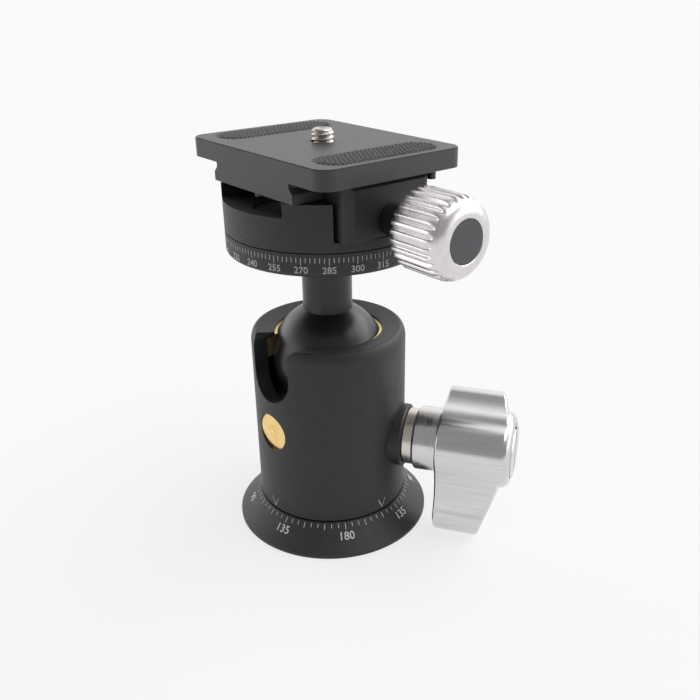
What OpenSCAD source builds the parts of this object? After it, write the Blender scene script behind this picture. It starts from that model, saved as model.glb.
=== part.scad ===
// Tripod ball head with a panning base, a drop notch and a quick-release clamp.
// Millimetres. +Z is up, +X is the axis of the main lock knob, and the origin
// is the centre of the underside that sits on the tripod.

/* [Base] */
// How far the flared base reaches beyond the housing
base_flare = 7.2; // [5:0.1:10]
// Height of the base's upright rim
base_rim_h = 1.3; // [0.8:0.1:2]
// Height of the base where the housing starts
base_h = 8.8; // [8:0.1:10]
// Room between the brake drum and the housing's bore
drum_room = 2.5; // [2.2:0.1:3.2]
// Height of the brake drum above the base
drum_h = 9.4; // [9:0.1:11]
// Radius of the pan spindle
spindle_r = 8; // [7.5:0.1:9]
// Radius of the tripod thread's wall
thread_r = 3.97; // [3.9:0.01:4.2]
// Depth of the tripod thread
thread_depth = 12; // [9:0.5:14]
// Length of the pan screws
pan_screw_l = 7; // [5:0.1:8]
// Thickness of the pan washer
pan_washer_t = 0.5; // [0.3:0.1:1]
// Thickness of the pan retainer
pan_retainer_t = 1.2; // [1:0.1:1.5]

/* [Housing] */
// Wall of the housing
housing_wall = 4.6; // [4.2:0.1:5]
// Height of the housing's rim above the tripod
housing_top = 66.6; // [65:0.1:69]
// Drop from the rim to the mouth
mouth_drop = 1.1; // [0.5:0.1:2]
// Width of the rim's rounding
rim_round = 1.9; // [1:0.1:2.5]
// Height of the rim's rounding
rim_fall = 3.7; // [1.5:0.1:4]
// Half width of the drop notch
notch_half = 8.2; // [7.8:0.1:9]
// Rounding of the drop notch's upper corners
notch_round = 2; // [1:0.1:3]
// Direction of the drop notch in degrees
notch_turn = -120; // [-130:1:-110]
// Thickness of the housing's floor
floor_t = 4.5; // [4:0.1:5]
// Thickness of the wedge guide
guide_t = 1.6; // [1.2:0.1:2]
// Height of the side plug's axis
plug_z = 37.2; // [36:0.1:39]
// Radius of the side plug
plug_r = 6; // [4:0.1:6.3]
// How far the side plug sits below the surface
plug_recess = 0.5; // [0.2:0.1:1]
// Height of the side plug's domed face
plug_dome = 0.4; // [0.2:0.1:1]

/* [Ball] */
// Radius of the ball
ball_r = 18; // [17.2:0.1:18.4]
// Height of the ball's centre
ball_z = 56.2; // [55.5:0.1:57]
// Radius of the neck
neck_r = 7.6; // [6.5:0.1:7.7]
// Wall of the gold collar at the ball's widest
collar_wall = 1.5; // [1.3:0.1:2]
// Clearance between the ball and its seats
seat_clear = 0.1; // [0.05:0.01:0.15]
// Width of the gold lip that shows in the mouth
collar_lip = 0.95; // [0.8:0.05:1.4]
// How far the gold collar sits below the mouth
collar_sink = 0.65; // [0.1:0.05:1]
// Height of the collar's lower edge above the ball's centre
collar_rise = 2; // [1:0.1:3]
// Thickness of the cup under the ball
cup_web = 1.7; // [1.4:0.1:2.4]

/* [Main lock] */
// Height of the main lock's axis
lock_z = 30.9; // [30:0.1:31.5]
// Radius of the lock stud
stud_r = 4; // [3.5:0.1:4.5]
// Radius of the threaded boss
boss_r = 10; // [9:0.1:10.5]
// How far the boss stands out of the housing
boss_h = 2.1; // [1.7:0.1:4]
// Radius of the steel sleeve
sleeve_r = 9; // [8:0.1:9.5]
// Length of the steel sleeve
sleeve_l = 2.9; // [2:0.1:5]
// Radius of the knob's collar
knob_collar_r = 10.2; // [9.7:0.1:12]
// Length of the knob's collar
knob_collar_l = 7.8; // [6:0.1:10]
// Radius of the knob's barrel
barrel_r = 11.9; // [11.5:0.1:13]
// Length of the knob's barrel
barrel_l = 23; // [21:0.1:25]
// Rounding of the barrel's front
barrel_round = 2.9; // [1.5:0.1:2.9]
// Length of the wings where they leave the barrel
wing_l = 20; // [17:0.1:20]
// Fall of the wings' front per unit of radius
wing_fall = 0.335; // [0.2:0.005:0.5]
// Radius of the wings' round ends
wing_end_r = 7.6; // [6.5:0.1:8.5]
// Distance of the long wing's end from the knob's axis
long_wing = 22.5; // [19:0.1:23]
// Distance of the short wing's end from the knob's axis
short_wing = 12.2; // [10:0.1:16]
// Radius of the hollows beside the wings
wing_hollow_r = 24; // [16:1:30]
// Direction of the long wing in degrees, 0 being straight down
wing_turn = -9; // [-20:1:10]
// Angle between the two wings
wing_spread = 128; // [110:1:150]
// Radius of the friction dial
dial_r = 8.4; // [7:0.1:9]
// Thickness of the friction dial
dial_t = 2.2; // [1.8:0.1:3]
// How far the friction dial stands out of the barrel
dial_proud = 0.5; // [0.2:0.1:1]
// Radius of the friction dial's shaft
dial_shaft_r = 2.5; // [2:0.1:3]
// Room between the lock wedge and the housing's bore
wedge_room = 8; // [7.5:0.1:9]
// Length of the lock wedge
wedge_l = 20.5; // [18:0.5:22]
// Width of the lock wedge
wedge_w = 14; // [10:0.5:16]
// Slope of the lock wedge in degrees
wedge_slope = 10; // [6:1:12]

/* [Small locks] */
// Radius of the pan lock's screw
pan_screw_r = 2.5; // [2:0.1:3]
// Radius of the pan lock's knob
pan_knob_r = 5.5; // [5:0.1:6]
// Length of the pan lock's knob
pan_knob_l = 11; // [8:0.5:14]
// Radius of the ring lock's screw
ring_screw_r = 1.5; // [1.2:0.1:1.6]
// Radius of the ring lock's knob
ring_knob_r = 3.6; // [3:0.1:4]
// Length of the ring lock's knob
ring_knob_l = 7.5; // [5:0.5:8]
// Direction of both small locks in degrees
small_lock_turn = 120; // [100:1:140]

/* [Scale ring] */
// Radius of the scale ring and the clamp body
ring_r = 29.3; // [28.5:0.1:31]
// Height of the ring's underside
ring_bottom = 92; // [90:0.1:95]
// Height of the scale ring
ring_h = 6.6; // [6.2:0.1:8]
// Rounding of the ring's lower edge
ring_round = 1.5; // [0.5:0.1:2]
// Thickness of the ring under the clamp's hub
ring_web = 2.8; // [2.6:0.1:3]
// Radius of the clamp's hub inside the ring
clamp_hub_r = 19.7; // [18:0.1:21]
// Radius of the pivot in the middle of the ring
pivot_r = 9; // [8:0.1:10]
// Radius of the stem screw
stem_screw_r = 3; // [2.5:0.1:3.5]
// Depth of the stem screw in the neck
stem_screw_l = 12; // [10:0.1:14]
// Radius of the retainer's two pins
key_pin_r = 1; // [0.8:0.1:1.2]
// Depth of the retainer's two pins in the ring
key_pin_l = 2.9; // [2.5:0.1:3.2]

/* [Clamp] */
// Direction of the clamp screw in degrees
clamp_turn = -32.5; // [-180:0.5:180]
// Height of the clamp body
clamp_h = 12.9; // [12:0.1:14]
// Height of the ledge under the movable jaw
ledge_h = 2.7; // [2.4:0.1:3.2]
// Thickness of the clamp's hub
clamp_hub_t = 4; // [3.8:0.1:4.4]
// Height of the clamp screw above the clamp's underside
clamp_axis_h = 7.4; // [7:0.1:8]
// Half length of the jaws
jaw_half = 14.7; // [13.5:0.1:16]
// Distance of the jaws' outer faces from the axis
jaw_face = 29.3; // [28:0.1:31]
// Rounding of the jaws' corners
jaw_round = 3; // [1:0.1:4]
// Room beside the movable jaw
jaw_side_gap = 1.2; // [0.5:0.1:1.5]
// Half width of the level shelf
shelf_half = 15; // [12:0.1:16]
// Depth of the level shelf under the platform
shelf_depth = 3.9; // [3:0.1:4.4]
// Distance of the shelf's inner wall from the axis
shelf_wall = 15.3; // [14.9:0.1:16]
// Radius of the bubble level
level_r = 4.8; // [3.5:0.1:5]
// Height of the bubble level
level_h = 3.4; // [3:0.1:4]
// Offset of the bubble level from the middle of the shelf
level_x = 3; // [-5:0.5:5]

/* [Clamp knob] */
// Radius of the clamp screw
clamp_screw_r = 3; // [2.5:0.1:3.2]
// Radius of the neck between jaw and knob
spacer_r = 4.5; // [4:0.1:6]
// Length of the neck between jaw and knob
spacer_l = 11.2; // [9:0.1:13]
// Radius of the clamp knob
clamp_knob_r = 11; // [9.5:0.1:11.5]
// Length of the clamp knob
clamp_knob_l = 16.4; // [13:0.1:19]
// Rounding of the clamp knob's front
clamp_knob_round = 4.5; // [3:0.1:4.6]
// Number of flutes round the clamp knob
flute_count = 28; // [20:1:32]
// Radius of the flutes
flute_r = 0.8; // [0.5:0.1:0.9]
// Radius of the knob's end insert
insert_r = 5.7; // [4:0.1:6.2]

/* [Plate] */
// Width of the plate across the dovetail
plate_w = 64; // [60:0.5:70]
// Length of the plate along the dovetail
plate_l = 49; // [44:0.5:60]
// Thickness of the plate's slab
slab_t = 5.4; // [5:0.1:7]
// Rounding of the plate's corners
plate_round = 4.5; // [2:0.1:6]
// Width of the dovetail at its base
dove_w = 38; // [37.5:0.1:38.5]
// Height of the dovetail
dove_h = 5.3; // [5:0.1:6]
// Height of the dovetail's upright side
dove_side_h = 2.5; // [2:0.1:2.7]
// How far the dovetail's flank runs in
dove_flank = 1.5; // [1.2:0.1:1.7]
// Width of the grip pads
pad_w = 12; // [8:0.5:14]
// Length of the grip pads
pad_l = 39.6; // [30:0.1:42]
// Distance of the grip pads from the middle
pad_x = 23.6; // [20:0.1:24]
// How far the grip pads stand above the plate
pad_proud = 0.4; // [0.2:0.1:1]
// Radius of the camera screw
camera_screw_r = 3.175; // [3:0.005:3.3]
// How far the camera screw stands above the plate
camera_screw_h = 3.5; // [3:0.1:5]
// Radius of the stop screws
stop_r = 1.2; // [0.8:0.1:1.5]

/* [Hidden] */

// Clearances: seats in one body, running fits, and gaps between bodies
seat_gap = 0.02;
run_gap = 0.05;
part_gap = 0.3;
eps = 0.01;
fine = 96;

// Heights of the base and of what turns on it
drum_top = base_h + drum_h;
housing_bottom = base_h + part_gap;
floor_bottom = drum_top + pan_washer_t;
floor_top = floor_bottom + floor_t;
spindle_top = floor_top + part_gap;
retainer_top = spindle_top + pan_retainer_t;
guide_bottom = retainer_top + part_gap;
guide_top = guide_bottom + guide_t;
pan_retainer_r = spindle_r + 4;
pan_screw_pitch_r = spindle_r - 3;
fastener_r = 1.5;
fastener_head_r = 2.7;

// Housing and base
bore_r = ball_r + collar_wall;
housing_r = bore_r + housing_wall;
base_r = housing_r + base_flare;
drum_r = bore_r - drum_room;
mouth_z = housing_top - mouth_drop;
seat_r = ball_r + seat_clear;
collar_top = mouth_z - collar_sink;
collar_inner = sqrt(pow(seat_r, 2) - pow(collar_top - ball_z, 2));
mouth_r = collar_inner + collar_lip;
collar_neck_t = 0.6;
lip_z = ball_z + sqrt(pow(seat_r, 2) - pow(mouth_r - collar_neck_t, 2));

// Wedge and cup
wedge_clear = 0.1;
wedge_bottom = guide_top + wedge_clear;
wedge_mid_top = ball_z - seat_r - cup_web;
wedge_out = bore_r - wedge_room;
wedge_in = wedge_out - wedge_l;
cup_lowest = wedge_mid_top + wedge_in * tan(wedge_slope) - 0.4;
cup_top = ball_z - neck_r - 1.4;
cup_relief_r = 6;

// Main lock, as distances from the axis along +X
boss_face = housing_r + boss_h;
sleeve_start = boss_face + part_gap;
collar_start = sleeve_start + sleeve_l;
barrel_start = collar_start + knob_collar_l;
barrel_end = barrel_start + barrel_l;
wing_front = barrel_start + wing_l;
stud_end = barrel_start + 11;
dial_end = barrel_end + dial_proud;
dial_start = dial_end - dial_t;
set_screw_r = 2;
set_screw_start = barrel_start + 5;
set_screw_turn = wing_turn + wing_spread;
set_screw_end = short_wing + wing_end_r - 3;
bushing_thread_r = stud_r + 3;

// Small locks
pan_lock_z = base_h + pan_knob_r + 0.4;
pan_knob_start = housing_r + 1.6;
pan_pad_l = drum_room + 1.2;
ring_top = ring_bottom + ring_h;
ring_floor = ring_bottom + ring_web;
ring_lock_z = (ring_floor + ring_top) / 2 - 0.1;
ring_knob_start = ring_r + 0.8;
ring_pad_l = 3.2;
ring_recess_r = clamp_hub_r + part_gap;

// Clamp
clamp_bottom = ring_top + part_gap;
platform_z = clamp_bottom + clamp_h;
ledge_z = clamp_bottom + ledge_h;
washer_t = part_gap;
hub_bottom = ring_floor + washer_t;
well_floor = hub_bottom + clamp_hub_t;
pivot_top = well_floor + part_gap;
clamp_retainer_t = 1.4;
clamp_retainer_r = pivot_r + 4.5;
well_r = clamp_retainer_r + part_gap;
clamp_screw_z = clamp_bottom + clamp_axis_h;
neck_top = ring_bottom + 2;
shelf_z = platform_z - shelf_depth;
level_top = shelf_z - 0.2;
level_y = -(shelf_wall + level_r + 0.6);
jaw_top = platform_z + 4.6;
pocket_half = jaw_half + jaw_side_gap;
pin_y = jaw_half - 4.2;
pin_r = 1.5;
pin_seat_l = 4;
pin_reach = 7;
spring_r = 2.3;
spring_wire_r = 0.3;
spring_seat_l = 4;

// Dovetail, shared by the plate and both jaws
dove_half = dove_w / 2;
dove_neck = dove_half - dove_flank;
dove_bottom = platform_z + 0.25;
slab_bottom = dove_bottom + dove_h;
plate_top = slab_bottom + slab_t;
grip_clear = 0.08;
grip_step = 0.03;
jaw_in = dove_neck + 0.2;
pocket_in = jaw_in - part_gap;

// Clamp knob, as distances along the clamp's own axis
spacer_start = jaw_face + 0.1;
clamp_knob_start = spacer_start + spacer_l;
clamp_knob_end = clamp_knob_start + clamp_knob_l;
insert_t = 0.7;
screw_inner_end = -24;

// Plate
pad_recess = 0.8;
screw_head_r = 7;
screw_head_t = 2.8;
stop_jaw_x = 27.5;
stop_jaw_y = jaw_half + stop_r + 0.4;
stop_shelf_x = 1.5;
stop_shelf_y = -(plate_l / 2 - stop_r - 0.3);

// Turns a shape that is drawn along +Z so that it points along +X
module along_x() {
    rotate([0, 90, 0]) children();
}

// Same, at a height and pointing in a compass direction
module radial(turn, z) {
    rotate([0, 0, turn]) translate([0, 0, z]) along_x() children();
}

module rod(r, from, to) {
    translate([0, 0, from]) cylinder(r = r, h = to - from, $fn = fine);
}

// Short cone that goes from one radius to another
module taper(r_from, r_to, from, to) {
    translate([0, 0, from]) cylinder(r1 = r_from, r2 = r_to, h = to - from, $fn = fine);
}

module tube(r_out, r_in, from, to) {
    difference() {
        rod(r_out, from, to);
        rod(r_in, from - 1, to + 1);
    }
}

module clamp_frame() {
    rotate([0, 0, clamp_turn]) children();
}

module clamp_axis() {
    clamp_frame() translate([0, 0, clamp_screw_z]) along_x() children();
}

module ring_of(count, r, start = 0) {
    for (i = [0 : count - 1]) {
        rotate([0, 0, start + i * 360 / count]) translate([r, 0, 0]) children();
    }
}

// Countersunk screw with its head's top at z
module countersunk(z, l, r, head_r) {
    rod(r, z - l, z);
    translate([0, 0, z - head_r + r]) cylinder(r1 = r, r2 = head_r, h = head_r - r, $fn = 48);
}

module rounded_slab(w, l, r, from, to) {
    translate([0, 0, from]) linear_extrude(to - from) union() {
        square([w, l - 2 * r], center = true);
        square([w - 2 * r, l], center = true);
        for (x = [-1, 1], y = [-1, 1]) {
            translate([x * (w / 2 - r), y * (l / 2 - r)]) circle(r = r, $fn = 64);
        }
    }
}

module pad_shape(w, l, from, to) {
    translate([0, 0, from]) linear_extrude(to - from) union() {
        square([w, l - w], center = true);
        for (y = [-1, 1]) {
            translate([0, y * (l - w) / 2]) circle(r = w / 2, $fn = 64);
        }
    }
}

// ---- Base ----

module base_flange() {
    color([0.06, 0.06, 0.065]) difference() {
        rotate_extrude($fn = 180) polygon([
            [0, 0], [base_r - 0.4, 0], [base_r, 0.4], [base_r, base_rim_h],
            [housing_r + 0.1, base_h], [drum_r, base_h], [drum_r, drum_top],
            [spindle_r, drum_top], [spindle_r, spindle_top], [0, spindle_top]
        ]);
        rod(thread_r, -1, thread_depth);
        ring_of(3, pan_screw_pitch_r) rod(fastener_r + seat_gap, spindle_top - pan_screw_l, spindle_top + 1);
    }
}

module pan_washer() {
    color("white") tube(drum_r - 0.5, spindle_r + part_gap, drum_top, floor_bottom);
}

module pan_retainer() {
    color("silver") difference() {
        rod(pan_retainer_r, spindle_top, retainer_top);
        ring_of(3, pan_screw_pitch_r) countersunk(
            retainer_top + eps, pan_retainer_t + 1, fastener_r + seat_gap, fastener_head_r
        );
    }
}

module pan_screws() {
    color("dimgray") ring_of(3, pan_screw_pitch_r) countersunk(
        retainer_top - seat_gap, pan_screw_l, fastener_r, fastener_head_r - 2 * seat_gap
    );
}

// ---- Housing ----

// What the drop notch removes, from the axis outwards
module notch_cut(half) {
    rotate([0, 0, notch_turn]) {
        translate([8, -half, ball_z]) cube([housing_r, 2 * half, housing_top]);
        translate([8, 0, ball_z]) along_x() cylinder(r = half, h = housing_r, $fn = fine);
    }
}

// Rounds off the corners between the drop notch and the rim
module notch_corners() {
    low = housing_top - notch_round;
    centre = notch_half + notch_round - seat_gap;
    rotate([0, 0, notch_turn]) for (side = [-1, 1]) difference() {
        translate([8, side * notch_half - notch_round, low]) {
            cube([housing_r, 2 * notch_round, notch_round + 1]);
        }
        translate([0, side * centre, low + seat_gap]) along_x() rod(notch_round, 0, 2 * housing_r);
    }
}

module housing() {
    bend = [for (a = [0 : 10 : 90])
        [housing_r - rim_round + rim_round * cos(a), housing_top - rim_fall + rim_fall * sin(a)]
    ];
    color([0.06, 0.06, 0.065]) difference() {
        rotate_extrude($fn = 180) polygon(concat(
            [[bore_r, housing_bottom], [housing_r - 0.4, housing_bottom],
             [housing_r, housing_bottom + 0.4]],
            bend,
            [[mouth_r, mouth_z], [mouth_r, lip_z], [bore_r, lip_z]]
        ));
        notch_cut(notch_half);
        notch_corners();
        radial(0, lock_z) rod(bushing_thread_r + seat_gap, bore_r - 2, housing_r + 2);
        radial(notch_turn, plug_z) rod(plug_r + run_gap, bore_r - 2, housing_r + 2);
        radial(small_lock_turn, pan_lock_z) rod(pan_screw_r + run_gap, bore_r - 2, housing_r + 2);
    }
}

module housing_floor() {
    color("dimgray") {
        tube(bore_r - seat_gap, spindle_r + run_gap, floor_bottom, floor_top);
        tube(bore_r - seat_gap, bore_r - 3, floor_top - eps, guide_bottom);
    }
}

module wedge_guide() {
    color("silver") difference() {
        rod(bore_r - seat_gap, guide_bottom, guide_top);
        radial(0, lock_z) rod(stud_r + 2 * wedge_clear, wedge_out, bore_r + 1);
    }
}

module ball_collar() {
    color("gold") difference() {
        union() {
            rod(bore_r - seat_gap, ball_z + collar_rise, lip_z);
            rod(mouth_r - seat_gap, lip_z - eps, collar_top);
        }
        translate([0, 0, ball_z]) sphere(r = seat_r, $fn = fine);
        notch_cut(notch_half);
    }
}

module lock_bushing() {
    color([0.03, 0.03, 0.035]) difference() {
        union() {
            radial(0, lock_z) rod(bushing_thread_r, bore_r, boss_face - 1);
            difference() {
                radial(0, lock_z) {
                    rod(boss_r, bore_r, boss_face - 0.6);
                    taper(boss_r, boss_r - 0.6, boss_face - 0.6, boss_face);
                }
                rod(housing_r, lock_z - boss_r - 2, lock_z + boss_r + 2);
            }
        }
        radial(0, lock_z) rod(stud_r + run_gap, 0, boss_face + 1);
    }
}

// Its face is a low dome, cut from a large ball
module side_plug() {
    face = housing_r - plug_recess;
    dome_r = (pow(plug_r, 2) + pow(plug_dome, 2)) / (2 * plug_dome);
    color("gold") radial(notch_turn, plug_z) intersection() {
        rod(plug_r, bore_r + 0.1, face + 1);
        translate([0, 0, face - dome_r]) sphere(r = dome_r, $fn = fine);
    }
}

// ---- Lock wedge and cup ----

module lock_wedge() {
    color("silver") rotate([90, 0, 0]) translate([0, 0, -wedge_w / 2]) linear_extrude(wedge_w) polygon([
        [wedge_in, wedge_bottom], [wedge_out, wedge_bottom],
        [wedge_out, wedge_mid_top + wedge_out * tan(wedge_slope) - run_gap],
        [wedge_in, wedge_mid_top + wedge_in * tan(wedge_slope) - run_gap]
    ]);
}

module ball_cup() {
    reach = bore_r + 2;
    color("gainsboro") difference() {
        rod(bore_r - 0.1, cup_lowest, cup_top);
        translate([0, 0, ball_z]) sphere(r = seat_r, $fn = fine);
        rod(cup_relief_r, cup_lowest - 1, ball_z);
        rotate([90, 0, 0]) translate([0, 0, -wedge_w / 2 - 0.2]) linear_extrude(wedge_w + 0.4) polygon([
            [-reach, cup_lowest - 1], [reach, cup_lowest - 1],
            [reach, wedge_mid_top + reach * tan(wedge_slope)],
            [-reach, wedge_mid_top - reach * tan(wedge_slope)]
        ]);
    }
}

// ---- Main lock knob ----

module lock_stud() {
    color("silver") radial(0, lock_z) difference() {
        rod(stud_r, wedge_out + run_gap, stud_end);
        translate([0, 0, stud_end - 0.6]) tube(stud_r + 1, stud_r - 0.5, 0, 1);
    }
}

module knob_sleeve() {
    color([0.75, 0.71, 0.66]) radial(0, lock_z) tube(sleeve_r, stud_r + seat_gap, sleeve_start, collar_start);
}

module knob_collar() {
    color("silver") radial(0, lock_z) difference() {
        union() {
            taper(knob_collar_r - 0.8, knob_collar_r, collar_start, collar_start + 0.8);
            rod(knob_collar_r, collar_start + 0.8, barrel_start);
        }
        rod(stud_r + seat_gap, 0, barrel_start + 1);
    }
}

// Outline of a wing: a round end joined to the barrel by two hollow flanks
module wing_outline(reach) {
    x = (pow(barrel_r + wing_hollow_r, 2) - pow(wing_end_r + wing_hollow_r, 2) + pow(reach, 2)) / (2 * reach);
    y = sqrt(pow(barrel_r + wing_hollow_r, 2) - pow(x, 2));
    difference() {
        polygon([[0, 0], [x, -y], [reach, 0], [x, y]]);
        for (side = [-y, y]) {
            translate([x, side]) circle(r = wing_hollow_r, $fn = 180);
        }
    }
    translate([reach, 0]) circle(r = wing_end_r, $fn = fine);
}

module lock_knob() {
    edge = 0.8;
    reach = long_wing + wing_end_r;
    shoulder = [for (a = [0 : 10 : 90])
        [barrel_r - barrel_round * (1 - cos(a)), barrel_end - barrel_round * (1 - sin(a))]
    ];
    color("silver") radial(0, lock_z) difference() {
        union() {
            intersection() {
                translate([0, 0, barrel_start]) linear_extrude(wing_l + 1) {
                    rotate(wing_turn) wing_outline(long_wing);
                    rotate(wing_turn + wing_spread) wing_outline(short_wing);
                    circle(r = barrel_r - 1, $fn = fine);
                }
                rotate_extrude($fn = 180) polygon([
                    [0, barrel_start], [reach - edge, barrel_start], [reach + 1, barrel_start + edge + 1],
                    [reach + 1, wing_front - (reach + 1 - barrel_r) * wing_fall],
                    [barrel_r, wing_front], [0, wing_front]
                ]);
            }
            rotate_extrude($fn = 180) polygon(concat(
                [[0, barrel_start], [barrel_r, barrel_start]], shoulder, [[0, barrel_end]]
            ));
        }
        rod(stud_r + seat_gap, 0, stud_end);
        rod(dial_shaft_r + run_gap, stud_end - 1, barrel_end + 1);
        rod(dial_r + part_gap, dial_start - 0.1, barrel_end + 1);
        translate([0, 0, set_screw_start]) rotate([0, 0, set_screw_turn]) along_x() {
            rod(set_screw_r + seat_gap, stud_r, set_screw_end + 5);
        }
    }
}

module knob_set_screw() {
    color("dimgray") radial(0, lock_z) translate([0, 0, set_screw_start]) rotate([0, 0, set_screw_turn]) {
        along_x() difference() {
            rod(set_screw_r, stud_r + seat_gap, set_screw_end);
            translate([0, 0, set_screw_end - 2]) cylinder(r = 1.15, h = 4, $fn = 6);
        }
    }
}

module friction_dial() {
    color("silver") radial(0, lock_z) difference() {
        union() {
            rod(dial_r, dial_start, dial_end - 0.4);
            taper(dial_r, dial_r - 0.4, dial_end - 0.4, dial_end);
            rod(dial_shaft_r, stud_end + part_gap, dial_start + eps);
        }
        translate([-dial_r - 1, -0.6, dial_end - 0.7]) cube([2 * dial_r + 2, 1.2, 2]);
    }
}

// ---- Small locks at the back ----

module lock_pad_at(turn, z, r, from, l) {
    color("goldenrod") radial(turn, z) rod(r, from, from + l);
}

module lock_screw_at(turn, z, r, from, to) {
    color("silver") radial(turn, z) rod(r, from, to);
}

// Small knob with a scalloped grip
module lock_knob_at(turn, z, r, screw_r, screw_end, from, l) {
    color([0.7, 0.7, 0.72]) radial(turn, z) difference() {
        union() {
            rod(r, from, from + l - 1);
            taper(r, r - 1, from + l - 1, from + l);
        }
        rod(screw_r + seat_gap, from - 1, screw_end);
        ring_of(12, r + 0.35) rod(0.7, from + 1.5, from + l + 1);
    }
}

pan_pad_start = drum_r + 0.1;
pan_screw_end = pan_knob_start + pan_knob_l - 3;
ring_pad_start = clamp_hub_r + 0.1;
ring_screw_end = ring_knob_start + ring_knob_l - 2;

module pan_lock_pad() {
    lock_pad_at(small_lock_turn, pan_lock_z, pan_screw_r - run_gap, pan_pad_start, pan_pad_l - seat_gap);
}

module pan_lock_screw() {
    lock_screw_at(small_lock_turn, pan_lock_z, pan_screw_r, pan_pad_start + pan_pad_l, pan_screw_end);
}

module pan_lock_knob() {
    lock_knob_at(
        small_lock_turn, pan_lock_z, pan_knob_r, pan_screw_r, pan_screw_end, pan_knob_start, pan_knob_l
    );
}

module ring_lock_pad() {
    lock_pad_at(small_lock_turn, ring_lock_z, ring_screw_r - run_gap, ring_pad_start, ring_pad_l - seat_gap);
}

module ring_lock_screw() {
    lock_screw_at(small_lock_turn, ring_lock_z, ring_screw_r, ring_pad_start + ring_pad_l, ring_screw_end);
}

module ring_lock_knob() {
    lock_knob_at(
        small_lock_turn, ring_lock_z, ring_knob_r, ring_screw_r, ring_screw_end, ring_knob_start, ring_knob_l
    );
}

// ---- Ball and scale ring ----

module ball_stem() {
    color([0.05, 0.05, 0.055]) difference() {
        union() {
            translate([0, 0, ball_z]) sphere(r = ball_r, $fn = 128);
            rod(neck_r, ball_z, neck_top);
        }
        translate([0, 0, ball_z - ball_r - 1]) cylinder(r = ball_r, h = 1.8, $fn = fine);
        rod(stem_screw_r + seat_gap, neck_top - stem_screw_l - 2, neck_top + 1);
    }
}

module scale_ring() {
    bend = [for (a = [-90 : 15 : 0])
        [ring_r - ring_round + ring_round * cos(a), ring_bottom + ring_round + ring_round * sin(a)]
    ];
    color([0.06, 0.06, 0.065]) difference() {
        rotate_extrude($fn = 180) polygon(concat(
            [[0, ring_bottom]], bend,
            [[ring_r, ring_top], [ring_recess_r, ring_top], [ring_recess_r, ring_floor],
             [pivot_r, ring_floor], [pivot_r, pivot_top], [0, pivot_top]]
        ));
        rod(neck_r + seat_gap, ring_bottom - 1, neck_top);
        rod(stem_screw_r + seat_gap, neck_top - 1, pivot_top + 1);
        ring_of(2, pivot_r - 3) rod(key_pin_r + seat_gap, pivot_top - key_pin_l - 0.1, pivot_top + 1);
        radial(small_lock_turn, ring_lock_z) rod(ring_screw_r + run_gap, ring_recess_r - 2, ring_r + 2);
    }
}

module clamp_washer() {
    color("white") tube(clamp_hub_r - 0.5, pivot_r + part_gap, ring_floor, hub_bottom);
}

module clamp_retainer() {
    color("silver") difference() {
        rod(clamp_retainer_r, pivot_top, pivot_top + clamp_retainer_t);
        countersunk(
            pivot_top + clamp_retainer_t + eps, clamp_retainer_t + 1,
            stem_screw_r + seat_gap, stem_screw_r + clamp_retainer_t - 0.2
        );
        ring_of(2, pivot_r - 3) rod(key_pin_r + seat_gap, pivot_top - 1, pivot_top + clamp_retainer_t + 1);
    }
}

module stem_screw() {
    head_top = pivot_top + clamp_retainer_t - 0.02;
    color("dimgray") difference() {
        countersunk(
            head_top, head_top - neck_top + stem_screw_l,
            stem_screw_r, stem_screw_r + clamp_retainer_t - 0.24
        );
        translate([0, 0, head_top - 2]) cylinder(r = 2, h = 3, $fn = 6);
    }
}

module retainer_pins() {
    color("dimgray") ring_of(2, pivot_r - 3) {
        rod(key_pin_r, pivot_top - key_pin_l, pivot_top + clamp_retainer_t - 0.1);
    }
}

// ---- Clamp ----

// Side view of a jaw, from the ledge to its chamfered top, with the dovetail's grip
module jaw_profile(inner, bottom) {
    grip = dove_half + grip_clear;
    flank_low = dove_bottom + dove_side_h + grip_step;
    polygon([
        [inner, bottom], [jaw_face, bottom], [jaw_face, jaw_top - 0.8], [jaw_face - 0.8, jaw_top],
        [jaw_in, jaw_top], [jaw_in, flank_low + grip - jaw_in], [grip, flank_low],
        [grip, platform_z], [inner, platform_z]
    ]);
}

module jaw_solid(inner, bottom) {
    intersection() {
        rotate([90, 0, 0]) translate([0, 0, -jaw_half]) linear_extrude(2 * jaw_half) {
            jaw_profile(inner, bottom);
        }
        translate([jaw_face / 2, 0, 0]) rounded_slab(jaw_face, 2 * jaw_half, jaw_round, 0, jaw_top + 5);
    }
}

// Everything above the platform that isn't the fixed jaw
module fixed_jaw_cut() {
    grip = dove_half + grip_clear;
    flank_low = dove_bottom + dove_side_h + grip_step;
    reach = ring_r + 2;
    rotate([90, 0, 0]) translate([0, 0, -reach]) linear_extrude(2 * reach) polygon([
        [reach, platform_z], [-grip, platform_z], [-grip, flank_low],
        [-jaw_in, flank_low + grip - jaw_in], [-jaw_in, jaw_top + 1], [reach, jaw_top + 1]
    ]);
    for (y = [-reach, jaw_half]) {
        translate([-reach, y, platform_z]) cube([reach, reach - jaw_half, jaw_top]);
    }
}

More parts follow.
